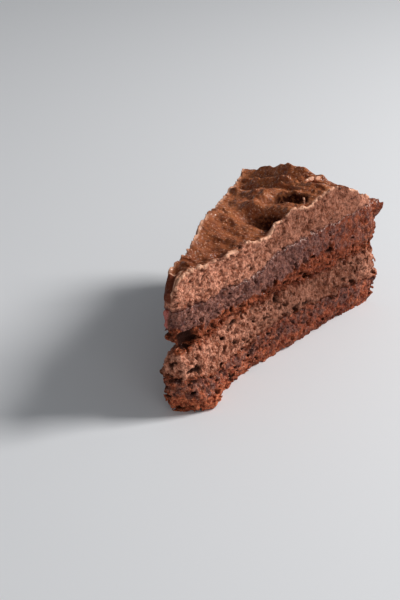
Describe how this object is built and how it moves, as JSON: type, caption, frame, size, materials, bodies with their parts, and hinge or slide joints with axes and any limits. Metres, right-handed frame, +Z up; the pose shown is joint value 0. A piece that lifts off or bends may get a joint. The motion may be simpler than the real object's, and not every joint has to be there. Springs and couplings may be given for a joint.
{
  "type": "slice of chocolate cake",
  "caption": "Wedge of layer cake: moist chocolate sponge and whipped chocolate cream in layers, under a thick swirled cream topping.",
  "frame": {"origin": "on the flat base, on the slice's middle line, 72 mm out from the whole cake's centre", "axes": "+Z up, +Y from the pointed tip towards the cake's round outer side, +X towards the right-hand cut as seen from the tip"},
  "size_m": [0.0597, 0.1287, 0.061],
  "materials": {
    "sponge": null,
    "cream": null
  },
  "bodies": {
    "root": {"sponge_lower": "sponge", "cream_filling": "cream", "sponge_upper": "sponge", "cream_topping": "cream"}
  },
  "joints": []
}
